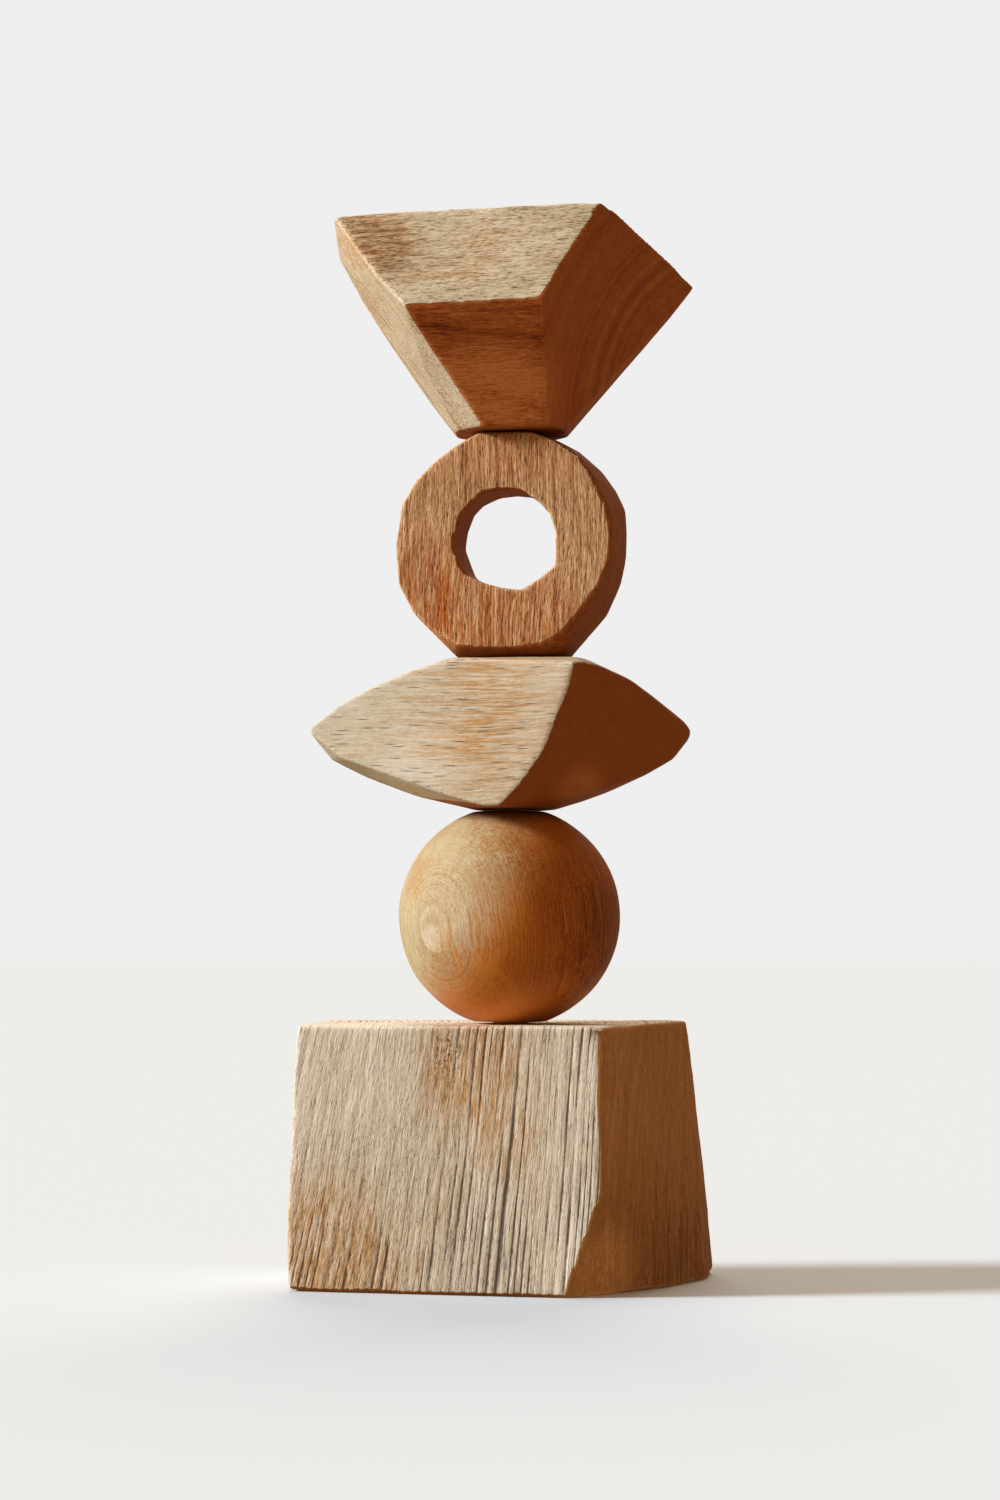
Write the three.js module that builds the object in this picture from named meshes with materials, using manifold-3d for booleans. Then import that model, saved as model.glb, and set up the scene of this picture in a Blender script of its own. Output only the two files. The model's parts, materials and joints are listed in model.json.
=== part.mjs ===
// A tabletop totem of five hand-carved wooden blocks, stacked on one upright axis: a heavy base, a ball,
// a pointed lens, a ring and a faceted crown. Four loose dowels hold the blocks in line, so that each
// block can be turned on the one below it or lifted off.
//
// Millimetres, +Z up. The origin is where the stack's axis meets the floor. -Y is the front.

import * as THREE from 'three';
import { ConvexGeometry } from 'three/addons/geometries/ConvexGeometry.js';
import { mergeVertices } from 'three/addons/utils/BufferGeometryUtils.js';
import Module from 'manifold-3d';

const wasm = await Module();
wasm.setup();

// ---------------------------------------------------------------- driving dimensions

const play = 0.3; // gap between faces that rest on each other, and around and past each dowel

const baseHeight = 91;
const ballRadius = 38;
const ballHeight = 73.2; // less than the diameter, because the ball is flattened where it is touched
const lensHeight = 52.2;
const ringHeight = 78.1;
const ringThickness = 27;
const ringHeading = THREE.MathUtils.degToRad(-11); // the ring looks a little to the left

const thickDowelRadius = 6;
const thinDowelRadius = 5; // the ring's wall is too thin for the thick ones
const dowelChamfer = 1;
const dowelSides = 24;

// How far each dowel reaches into the block below it and the block above it.
const dowelReach = {
  base_ball: { below: 22, above: 22, radius: thickDowelRadius },
  ball_lens: { below: 22, above: 22, radius: thickDowelRadius },
  lens_ring: { below: 18, above: 12, radius: thinDowelRadius },
  ring_crown: { below: 12, above: 18, radius: thinDowelRadius },
};

// ---------------------------------------------------------------- heights of the stack

const ballBottom = baseHeight + play;
const lensBottom = ballBottom + ballHeight + play;
const ringBottom = lensBottom + lensHeight + play;
const crownBottom = ringBottom + ringHeight + play;

// ---------------------------------------------------------------- woods

const wood = (color, roughness) => new THREE.MeshStandardMaterial({ color, roughness, metalness: 0 });

const weatheredOak = wood(0xbfa78a, 0.85);
const honeyOak = wood(0xc08a52, 0.55);
const paleOak = wood(0xcdb083, 0.75);
const redOak = wood(0xb07042, 0.8);
const crownOak = wood(0xc29b6c, 0.75);
const beech = wood(0xd9b98a, 0.6);

// ---------------------------------------------------------------- helpers

const point = ([x, y, z]) => new THREE.Vector3(x, y, z);

// The smallest body with no hollow in its faces that holds all the corners: every block but the ball is
// such a body, because each was made by sawing flat facets off a blank.
const sawn = (corners) => new ConvexGeometry(corners.map(point));

function toSolid(geometry) {
  const bare = geometry.clone();
  bare.deleteAttribute('normal');
  bare.deleteAttribute('uv');
  const merged = mergeVertices(bare, 1e-4);
  return new wasm.Manifold(new wasm.Mesh({
    numProp: 3,
    vertProperties: new Float32Array(merged.attributes.position.array),
    triVerts: new Uint32Array(merged.index.array),
  }));
}

function toGeometry(solid) {
  const mesh = solid.getMesh();
  const geometry = new THREE.BufferGeometry();
  geometry.setAttribute('position', new THREE.BufferAttribute(new Float32Array(mesh.vertProperties), 3));
  geometry.setIndex(new THREE.BufferAttribute(new Uint32Array(mesh.triVerts), 1));
  return geometry;
}

// A round bore along Z whose flats stand clear of a dowel with the given radius.
function bore(dowelRadius, from, to) {
  const cornerRadius = (dowelRadius + play) / Math.cos(Math.PI / dowelSides);
  const drill = new THREE.CylinderGeometry(cornerRadius, cornerRadius, to - from, dowelSides);
  drill.rotateX(Math.PI / 2);
  drill.translate(0, 0, (from + to) / 2);
  return drill;
}

function cut(geometry, tools) {
  let solid = toSolid(geometry);
  for (const tool of tools) {
    solid = solid.subtract(toSolid(tool));
  }
  return toGeometry(solid);
}

const overshoot = 5; // how far a drill starts outside the block

// A block with a blind socket in its underside, its top, or both, for the dowels that it sits on and holds.
function drilled(geometry, { under, over, height }) {
  const tools = [];
  if (under) {
    tools.push(bore(under.radius, -overshoot, under.above + play));
  }
  if (over) {
    tools.push(bore(over.radius, height - over.below - play, height + overshoot));
  }
  return cut(geometry, tools);
}

function block(name, geometry, bottom, material) {
  const mesh = new THREE.Mesh(geometry, material);
  mesh.name = name;
  mesh.position.z = bottom;
  return mesh;
}

// ---------------------------------------------------------------- base

// A heavy block, set with its face a little to the left. The lower front corner is sawn off, and the right
// flank leans out towards its foot. Corners run from the front left round by the right.
function makeBase() {
  const rim = [
    [-73.3, -14], [30.5, -40], [62.9, 44], [50, 64], [-66, 58],
  ].map(([x, y]) => [x, y, baseHeight]);
  const waist = [
    [-76.4, -13, 26], [30.3, -40, 34.8], [18.9, -37.1, 15], [68.5, 48, 45],
  ];
  const foot = [
    [-76.2, -12.5], [17.8, -36.8], [36, -23], [54, 0], [69, 28], [73.2, 54], [60, 69], [-70, 62],
  ].map(([x, y]) => [x, y, 0]);
  const blank = sawn([...rim, ...waist, ...foot]);
  return drilled(blank, { over: dowelReach.base_ball, height: baseHeight });
}

// ---------------------------------------------------------------- ball

// A turned ball, sawn flat at its two poles.
function makeBall() {
  const bands = 18;
  const poleAngle = Math.asin(ballHeight / 2 / ballRadius);
  const profile = [new THREE.Vector2(0, 0)];
  for (let band = 0; band <= bands; band += 1) {
    const angle = poleAngle * (2 * band / bands - 1);
    const radius = ballRadius * Math.cos(angle);
    profile.push(new THREE.Vector2(radius, ballHeight / 2 + ballRadius * Math.sin(angle)));
  }
  profile.push(new THREE.Vector2(0, ballHeight));
  const ball = new THREE.LatheGeometry(profile, 2 * bands);
  ball.rotateX(Math.PI / 2);
  return drilled(ball, {
    under: dowelReach.base_ball,
    over: dowelReach.ball_lens,
    height: ballHeight,
  });
}

// ---------------------------------------------------------------- lens

// A spindle with a point at each end, like a seed. Two upright facets meet in a ridge that leans across the
// front, and a third, below the right one, runs out along a fold. The belly is rounded towards a keel under
// the middle. The back is the front turned half round and a little shorter.
function makeLens() {
  const leftPoint = [-70.6, 0, 27.9];
  const rightPoint = [62.5, 4, 25.3];
  const leftFacet = [
    [-58.6, -4, 36.7], [-48.1, -7.8, 42], [-34.8, -12.7, 47.2], [-26.1, -16, 49.7], [-16.8, -19.7, 51.8],
    [-59.2, -5.9, 18.6], [-46.8, -11.6, 14.1], [-27.7, -20.6, 6.5], [-14, -26.9, 1.9],
  ];
  const ridge = [
    [20.9, -35.8, 49.6], [18.2, -36, 38.4], [12.8, -35.4, 24.9], [9.7, -34.9, 17.8], [2.6, -33.2, 7.7],
    [-4.5, -31, 0],
  ];
  const rightFacet = [
    [28.4, -31.7, 48.5], [34.7, -25.9, 46.2], [40.7, -20.2, 43.9], [48.2, -12.4, 38.9],
    [55.5, -4.8, 33.9], [61, 1.5, 28.7], [21.8, -21.7, 8.2], [34.8, -11.4, 7.9], [51.8, -1.2, 16.7],
  ];
  const keel = [
    [-62.3, 3, 17.6], [-51.6, 4, 12.1], [-36.9, 4, 6.5], [-28.5, 3, 3.7],
    [57.4, 8, 20.6], [46.5, 6, 14.9], [33.5, 4, 6.5], [25.8, 4, 3.7],
  ];
  const front = [leftPoint, rightPoint, ...leftFacet, ...ridge, ...rightFacet, ...keel];
  const backLength = 0.9;
  const back = front.map(([x, y, z]) => [-backLength * x, -y, z]);
  const top = [
    [-19, -14], [20, -18], [25, -6], [20, 15], [0, 20], [-20, 12],
  ].map(([x, y]) => [x, y, lensHeight]);
  const bottom = [
    [-13.5, -3], [-12, 10], [4, 20], [13.5, 5], [12, -8],
  ].map(([x, y]) => [x, y, 0]);
  return drilled(sawn([...front, ...back, ...top, ...bottom]), {
    under: dowelReach.ball_lens,
    over: dowelReach.lens_ring,
    height: lensHeight,
  });
}

// ---------------------------------------------------------------- ring

// A thick ring cut by hand, so that its rim and its hole are runs of short flats. Its outlines are drawn as
// [across, up], round by the right from the left end of the top, and the foot is sawn flat to stand on.
function makeRing() {
  const frontRim = [
    [-8, 78.1], [8, 78.1], [18.3, 73.7], [26.4, 68.3], [31.3, 61.6], [36.2, 51.2], [37.7, 43.7],
    [37.1, 33.5], [33.9, 23.8], [28.1, 15.3], [20.6, 7.4], [14.8, 4.1], [7.3, 2.8], [-6.2, 3], [-15.5, 4],
    [-26, 10.6], [-31.3, 15.2], [-36.9, 25.4], [-38.1, 40.2], [-36, 52.9], [-31, 61.4], [-24.3, 68.2],
    [-18.4, 72.6],
  ];
  const backRim = [
    [-9, 78.1], [13.5, 78.1], [21.8, 73.5], [30.1, 66.2], [35.3, 59], [38.3, 52.6], [38.8, 44.9],
    [38.3, 35], [36.5, 26.3], [31.8, 15.9], [23.5, 9.1], [17, 3.4], [-14.5, 4], [-25, 10.5], [-31, 16],
    [-36.5, 26], [-37.5, 40], [-35.5, 52.5], [-30, 61.5], [-22, 69.5],
  ];
  const foot = [
    [-16.5, 0], [18.8, 0],
  ];
  const frontHole = [
    [-17.2, 39.7], [-15, 48.3], [-10.8, 52.8], [-6.2, 56.7], [0, 57.5], [6.7, 56.8], [12.4, 52.8],
    [15.9, 48.8], [18, 42.4], [18, 37.9], [17.7, 31.5], [12.5, 27.1], [6.1, 23.2], [-0.3, 23.9],
    [-7.3, 26], [-12.5, 28.7], [-16, 33.4],
  ];
  const backHole = [
    [-18.6, 40], [-17.8, 46], [-15.4, 52], [-12.4, 55], [-6.1, 57.7], [0, 58.4], [6.7, 57.5], [13, 53.5],
    [16.9, 49], [18.8, 42.4], [18.8, 37.5], [18.2, 31], [13, 26.5], [6.1, 22.6], [-0.3, 23], [-8, 25],
    [-14.5, 29.6],
  ];
  const footDepth = 8; // half of the foot's width, front to back
  const half = ringThickness / 2;
  const past = half + 1; // the hole's cutter runs past both faces
  const at = (outline, depth) => outline.map(([across, up]) => [across, depth, up]);
  const disc = sawn([
    ...at(frontRim, -half), ...at(foot, -footDepth), ...at(foot, footDepth), ...at(backRim, half),
  ]);
  const hole = sawn([...at(frontHole, -past), ...at(backHole, past)]);
  const ring = cut(disc, [hole]);
  ring.rotateZ(ringHeading);
  return drilled(ring, {
    under: dowelReach.lens_ring,
    over: dowelReach.ring_crown,
    height: ringHeight,
  });
}

// ---------------------------------------------------------------- crown

// A block sawn like a rough gem that flares out from a small foot. Its longest edge is the ridge at the top.
function makeCrown() {
  const topRidge = [
    [-60.1, -11, 75.2], [31.5, -17, 78.5],
  ];
  const frontLedge = [
    [-36.8, -33, 40.5], [10.1, -36, 42.3],
  ];
  const rightPoint = [66.7, 40.5, 59.3];
  const backCorner = [-38, 48, 55];
  const leftFlank = [
    [-58.4, 0, 63.2], [-50.8, 2, 49.5], [-39.6, 4, 30], [-28.6, 2, 12.8],
    [-41.3, -20, 41], [-30, -16, 20.9],
  ];
  const foot = [
    [-9, -17.3], [12.7, -18], [17.7, -10.5], [19, 8], [12, 20], [-8, 20], [-18, 10], [-18.1, -4],
  ].map(([x, y]) => [x, y, 0]);
  const corners = [...topRidge, ...frontLedge, rightPoint, backCorner, ...leftFlank, ...foot];
  return drilled(sawn(corners), { under: dowelReach.ring_crown });
}

// ---------------------------------------------------------------- dowels

// A plain round pin with chamfered ends, centred on the seam between two blocks.
function makeDowel(name, seam) {
  const { below, above, radius } = dowelReach[name];
  const end = radius - dowelChamfer;
  const profile = [
    [0, -below], [end, -below], [radius, dowelChamfer - below],
    [radius, above - dowelChamfer], [end, above], [0, above],
  ].map(([r, z]) => new THREE.Vector2(r, z));
  const pin = new THREE.LatheGeometry(profile, dowelSides);
  pin.rotateX(Math.PI / 2);
  return block(`dowel_${name}`, pin, seam, beech);
}

// ---------------------------------------------------------------- assembly

const totem = new THREE.Group();

totem.add(block('base_block', makeBase(), 0, weatheredOak));
totem.add(block('ball', makeBall(), ballBottom, honeyOak));
totem.add(block('lens', makeLens(), lensBottom, paleOak));
totem.add(block('ring', makeRing(), ringBottom, redOak));
totem.add(block('crown', makeCrown(), crownBottom, crownOak));

// Each dowel reaches down from the top of the lower block and up from the foot of the upper one.
totem.add(makeDowel('base_ball', ballBottom - play / 2));
totem.add(makeDowel('ball_lens', lensBottom - play / 2));
totem.add(makeDowel('lens_ring', ringBottom - play / 2));
totem.add(makeDowel('ring_crown', crownBottom - play / 2));

export default totem;
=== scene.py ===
# %% [markdown]
# # A totem of carved wooden blocks
#
# The object is a tabletop totem: a heavy base, a ball, a pointed lens, a ring and a faceted crown, each
# sawn and carved from its own piece of wood, standing on each other with a loose dowel in every joint.
# The frame holds the plain solids in their true places. Here each block gets what a carver and the
# weather gave it: worn edges, knife facets, raised grain, pores and colour.

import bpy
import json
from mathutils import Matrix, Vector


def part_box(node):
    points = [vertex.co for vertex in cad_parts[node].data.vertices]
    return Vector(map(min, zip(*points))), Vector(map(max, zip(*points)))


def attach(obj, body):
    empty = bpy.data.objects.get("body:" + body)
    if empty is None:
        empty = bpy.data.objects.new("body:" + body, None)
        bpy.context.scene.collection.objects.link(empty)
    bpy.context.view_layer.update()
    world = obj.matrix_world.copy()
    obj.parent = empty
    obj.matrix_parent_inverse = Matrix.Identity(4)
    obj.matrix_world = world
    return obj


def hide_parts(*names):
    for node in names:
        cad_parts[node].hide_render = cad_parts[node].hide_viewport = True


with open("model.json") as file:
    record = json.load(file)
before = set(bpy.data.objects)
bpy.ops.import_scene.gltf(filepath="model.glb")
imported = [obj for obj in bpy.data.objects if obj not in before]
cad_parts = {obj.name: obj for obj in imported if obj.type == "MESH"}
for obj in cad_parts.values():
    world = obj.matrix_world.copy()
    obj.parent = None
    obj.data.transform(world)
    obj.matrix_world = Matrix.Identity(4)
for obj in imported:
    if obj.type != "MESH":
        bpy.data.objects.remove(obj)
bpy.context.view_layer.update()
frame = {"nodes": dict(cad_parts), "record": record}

# %% [markdown]
# ## Words used everywhere
#
# Everything is in metres, and the joint bodies are looked up in the record, so that a block always rides
# on the body that carries its solid. `MM` turns the sizes that a carver would say into metres.

# %% Units and imports
import json
import math

import bmesh
import bpy
import numpy as np
from mathutils import Vector, noise

MM = 0.001
DEGREE = math.radians(1)

body_of = {
    node: body
    for body, nodes in frame["record"]["behaviour"]["bodies"].items()
    for node in nodes
}
print("blocks and pins:", ", ".join(sorted(body_of)))

# %% [markdown]
# ## The camera
#
# The totem is seen almost level, from a little above the top of its base, with a long lens, so upright
# lines stay nearly upright and the crown is seen from slightly below. The camera looks up by a few degrees
# rather than shifting its lens, because a shift would carry over into every other view.

# %% Camera
EYE = Vector((-3.8, -1250, 121.5)) * MM
LOOK_UP = 2.94 * DEGREE

eye = bpy.data.cameras.new("eye")
eye.lens = 86.4
eye.sensor_width = 36
eye.dof.use_dof = False
camera = bpy.data.objects.new("camera", eye)
camera.location = EYE
camera.rotation_euler = (math.pi / 2 + LOOK_UP, 0, 0)
bpy.context.scene.collection.objects.link(camera)
bpy.context.scene.camera = camera
bpy.context.scene.view_settings.view_transform = "Standard"
print("the lens sees", round(math.degrees(eye.angle), 1), "degrees")

# %% [markdown]
# ## Reading a block's facets
#
# A sawn block is what is left of a blank after each facet's cut. The frame's solid already knows its
# facets, so they are read from it instead of being written down twice: each flat face that the whole
# solid lies behind is one saw cut. Faces inside a dowel socket have wood in front of them, so they are
# passed over. Cuts that nearly agree are one cut, and the larger wins.

# %% Facets of a solid
SAME_CUT = 2.5 * DEGREE
TINY = 0.4 * MM * MM
OUTERMOST = 0.03 * MM  # how far a solid may reach in front of one of its outer facets
SEATED = 0.97  # a facet this level is one that a block stands on, or holds another block with


def faces_of(node):
    """The flat faces of a solid, largest first.

    Each is (a point on the face, its outward direction, all its corners).
    """
    solid = frame["nodes"][node].data
    faces = sorted(solid.polygons, key=lambda face: -face.area)
    return [
        (face.center.copy(), face.normal.copy(), [solid.vertices[i].co.copy() for i in face.vertices])
        for face in faces
        if face.area > TINY
    ]


def facets_of(node, spare=0.0, more=()):
    """The saw cuts that shape a solid from outside, as points and outward directions.

    spare is how many millimetres too wide the cuts are made, to leave wood for the carving, and more
    lists the places that need extra: (place in millimetres, reach, millimetres to leave).
    """
    corners = np.array([v.co for v in frame["nodes"][node].data.vertices])
    cuts = []
    for point, direction, _ in faces_of(node):
        ahead = (corners @ np.array(direction)).max() - point.dot(direction)
        fresh = all(direction.angle(other) > SAME_CUT for _, other in cuts)
        if ahead < OUTERMOST and fresh:
            left_on = spare if abs(direction.z) < SEATED else 0
            for place, reach, extra in more:
                if (point / MM - Vector(place)).length < reach:
                    left_on += extra
            cuts.append((point + direction * left_on * MM, direction))
    return cuts


for node in ("base_block", "lens", "ring", "crown"):
    print(node, "has", len(facets_of(node)), "facets")

# %% [markdown]
# ## Sawing a blank
#
# The blank is a box a little larger than the block. `bisect_plane` is the saw: it throws away what lies
# outside the cut and leaves an open loop, which `edgeloop_fill` closes with one flat face.

# %% The saw
BLANK_ROOM = 3 * MM
ON_THE_CUT = 1e-7
SAME_POINT = 0.02 * MM


def blank_for(low, high, spare=BLANK_ROOM):
    """A box that reaches past a block's own box by spare on every side."""
    bm = bmesh.new()
    bmesh.ops.create_cube(bm, size=1)
    size = [high[i] - low[i] + 2 * spare for i in range(3)]
    bmesh.ops.scale(bm, vec=size, verts=bm.verts)
    bmesh.ops.translate(bm, vec=(low + high) / 2, verts=bm.verts)
    return bm


def saw(bm, cuts):
    """Makes every cut in turn, and closes the face that each one opens."""
    for point, direction in cuts:
        everything = bm.verts[:] + bm.edges[:] + bm.faces[:]
        cut = bmesh.ops.bisect_plane(
            bm, geom=everything, dist=ON_THE_CUT, plane_co=point, plane_no=direction, clear_outer=True
        )
        loop = [item for item in cut["geom_cut"] if isinstance(item, bmesh.types.BMEdge)]
        open_edges = [edge for edge in loop if len(edge.link_faces) == 1]
        if open_edges:
            bmesh.ops.edgeloop_fill(bm, edges=open_edges)
    bmesh.ops.remove_doubles(bm, verts=bm.verts, dist=SAME_POINT)
    bmesh.ops.recalc_face_normals(bm, faces=bm.faces)
    return bm


def to_object(name, bm):
    """Turns a finished bmesh into an object of the scene."""
    mesh = bpy.data.meshes.new(name)
    bm.to_mesh(mesh)
    bm.free()
    piece = bpy.data.objects.new(name, mesh)
    bpy.context.scene.collection.objects.link(piece)
    return piece


def apply_modifiers(piece):
    """Makes the result of a piece's modifiers its own mesh."""
    bpy.context.view_layer.update()
    ready = piece.evaluated_get(bpy.context.evaluated_depsgraph_get())
    mesh = bpy.data.meshes.new_from_object(ready)
    piece.modifiers.clear()
    old = piece.data
    piece.data = mesh
    bpy.data.meshes.remove(old)


def carve_out(piece, tool):
    """Cuts a tool's shape out of a piece, and throws the tool away."""
    cutter = piece.modifiers.new("carve", "BOOLEAN")
    cutter.operation = "DIFFERENCE"
    cutter.solver = "EXACT"
    cutter.object = tool
    apply_modifiers(piece)
    bpy.data.objects.remove(tool)


trial = saw(blank_for(*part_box("lens")), facets_of("lens"))
print("sawing leaves the lens with", len(trial.faces), "faces and", len(trial.edges), "edges")
trial.free()

# %% [markdown]
# ## Dowel sockets
#
# Each block is drilled for the dowels that reach into it. A socket is found from the frame's own dowels:
# it has the dowel's axis and reach, with a little room round it and past its end.

# %% Drilling
SOCKET_ROOM = 0.35 * MM
BIT_SIDES = 48


def drill(piece, node):
    """Drills a piece for every dowel that reaches the height of its solid."""
    low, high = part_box(node)
    for pin in (name for name in body_of if name.startswith("dowel")):
        pin_low, pin_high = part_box(pin)
        if pin_high.z < low.z or pin_low.z > high.z:
            continue
        radius = (pin_high.x - pin_low.x) / 2 + SOCKET_ROOM
        middle = Vector(((pin_low.x + pin_high.x) / 2, (pin_low.y + pin_high.y) / 2, 0))
        bit_low = pin_low.z - SOCKET_ROOM
        bit_high = pin_high.z + SOCKET_ROOM
        bm = bmesh.new()
        bmesh.ops.create_cone(
            bm, cap_ends=True, segments=BIT_SIDES, radius1=radius, radius2=radius, depth=bit_high - bit_low
        )
        bmesh.ops.translate(bm, vec=middle + Vector((0, 0, (bit_low + bit_high) / 2)), verts=bm.verts)
        carve_out(piece, to_object("bit", bm))


print("sockets are", SOCKET_ROOM / MM, "mm wider than their dowels all round")

# %% [markdown]
# ## A skin fine enough to carve
#
# A sawn block has a handful of huge faces, and worn edges or raised grain need thousands of small ones.
# Subdividing would crowd the small facets and starve the large ones. A Remesh modifier in its sharp mode
# lays an even net over the whole block and keeps points on the sawn edges, so that they stay straight.
# Here and there it leaves an edge that doesn't have exactly two faces. Such edges are shrunk to points,
# so that the skin is closed, and the number found and the number left are printed for each block.

# %% Fine skin
NET_DEPTH = 8
LARGEST_NET_SCALE = 0.98
SHRINK_ROUNDS = 6


def shrink_bad_edges(mesh):
    """Shrinks the edges that don't have exactly two faces to points; returns how many, and any left."""
    bm = bmesh.new()
    bm.from_mesh(mesh)
    shrunk = 0
    for _ in range(SHRINK_ROUNDS):
        bad = [edge for edge in bm.edges if len(edge.link_faces) != 2]
        if not bad:
            break
        shrunk += len(bad)
        bmesh.ops.collapse(bm, edges=bad)
    left = sum(len(edge.link_faces) != 2 for edge in bm.edges)
    bm.to_mesh(mesh)
    bm.free()
    return shrunk, left


def fine_skin(piece, mesh_width):
    """Covers a piece with an even net whose squares are mesh_width wide."""
    net = piece.modifiers.new("net", "REMESH")
    net.mode = "SHARP"
    net.octree_depth = NET_DEPTH
    net.scale = min(LARGEST_NET_SCALE, max(piece.dimensions) / (mesh_width * 2 ** NET_DEPTH))
    net.use_remove_disconnected = False
    apply_modifiers(piece)
    shrunk, left = shrink_bad_edges(piece.data)
    print(piece.name, "has", len(piece.data.polygons), "faces;", shrunk, "bad edges closed,", left, "left")


# %% [markdown]
# ## Wood as a solid
#
# Wood is a solid pattern: rings round a pith, and fibres that run along it. Every block is given its own
# pith line and fibre direction, and its grain is worked out from the place in the block, not from a
# wrapped picture, so a facet that cuts across the fibres shows end grain and one along them shows lines.
# The raised grain of the mesh and the stain of the material have to agree, so the same few lines of
# maths serve both: they work on arrays of points and on shader sockets alike.

# %% Maths for arrays and sockets alike
def sine(value):
    return value.maths("SINE") if isinstance(value, Field) else np.sin(value)


def fraction(value):
    return value.maths("FRACT") if isinstance(value, Field) else value % 1


def positive(value):
    return value.maths("MAXIMUM", 0) if isinstance(value, Field) else np.maximum(value, 0)


def bump_of(distance, width):
    """1 where distance is 0, falling smoothly to 0 at width."""
    share = positive(1 - (distance / width) ** 2)
    return share * share


def steps(values, low, high):
    """0 below low, 1 above high, and a soft step between, for arrays."""
    share = np.clip((values - low) / (high - low), 0, 1)
    return share * share * (3 - 2 * share)


class Field:
    """A value that varies over a surface: a socket that takes part in sums."""

    def __init__(self, paint, socket):
        self.paint = paint
        self.socket = socket

    def maths(self, operation, *others):
        return self.paint.node("Math", {"operation": operation}, dict(enumerate((self, *others))))

    def __add__(self, other):
        return self.maths("ADD", other)

    def __sub__(self, other):
        return self.maths("SUBTRACT", other)

    def __rsub__(self, other):
        return self.paint.node("Math", {"operation": "SUBTRACT"}, {0: other, 1: self})

    def __mul__(self, other):
        return self.maths("MULTIPLY", other)

    def __truediv__(self, other):
        return self.maths("DIVIDE", other)

    def __pow__(self, other):
        return self.maths("POWER", other)

    __radd__ = __add__
    __rmul__ = __mul__


class Paint:
    """The nodes of a material or a world, and the one method that adds to them."""

    def __init__(self, owner):
        owner.use_nodes = True
        self.tree = owner.node_tree
        self.tree.nodes.clear()

    def node(self, kind, settings=(), inputs=(), output=0):
        made = self.tree.nodes.new("ShaderNode" + kind)
        for name, value in dict(settings).items():
            if name == "stops":
                ramp = made.color_ramp
                while len(ramp.elements) < len(value):
                    ramp.elements.new(1)
                for element, (position, colour) in zip(ramp.elements, value):
                    element.position = position
                    element.color = colour
            else:
                setattr(made, name, value)
        for key, value in dict(inputs).items():
            if isinstance(value, Field):
                self.tree.links.new(value.socket, made.inputs[key])
            else:
                made.inputs[key].default_value = value
        return Field(self, made.outputs[output]) if made.outputs else None

    def mix(self, amount, under, over, blend="MIX"):
        settings = {"data_type": "RGBA", "blend_type": blend, "clamp_factor": True}
        return self.node("Mix", settings, {0: amount, 6: under, 7: over}, output=2)

    def ramp(self, value, low, high):
        """0 below low, 1 above high, and a soft step between."""
        settings = {"interpolation_type": "SMOOTHSTEP"}
        inputs = {"Value": value, "From Min": low, "From Max": high}
        return self.node("MapRange", settings, inputs)

    def noise(self, vector, scale, detail=3, roughness=0.5, distortion=0.0):
        inputs = {"Vector": vector, "Scale": scale, "Detail": detail, "Roughness": roughness}
        inputs["Distortion"] = distortion
        return self.node("TexNoise", {}, inputs)

    def cells(self, vector):
        """Distance to the middle of the nearest cell, for pores and flecks."""
        inputs = {"Vector": vector, "Scale": 1.0, "Randomness": 1.0}
        return self.node("TexVoronoi", {"feature": "F1"}, inputs)

    def stretch(self, vector, factors):
        return self.node("VectorMath", {"operation": "MULTIPLY"}, {0: vector, 1: factors})

    def attribute(self, name):
        return self.node("Attribute", {"attribute_name": name}, output=2)


def linear(channel):
    share = channel / 255
    return share / 12.92 if share <= 0.04045 else ((share + 0.055) / 1.055) ** 2.4


def colour(red, green, blue):
    """A colour as a maker reads it off a chart, 0 to 255, turned into light."""
    return (linear(red), linear(green), linear(blue), 1.0)


print("a mid grey, 128 of 255, reflects", round(linear(128), 3), "of the light")

# %% [markdown]
# ## One tree, one recipe
#
# A `Timber` says where a block's pith runs, how wide its rings are and how its fibres wander, fan out and
# give way to knots. Its `bend` straightens a place into the tree's own measures, in millimetres across,
# through and along the fibres, and `rings` numbers the growth rings there. Every line of the grain is
# drawn in straightened measures, so all of them bend together, as they do in a board.

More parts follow.
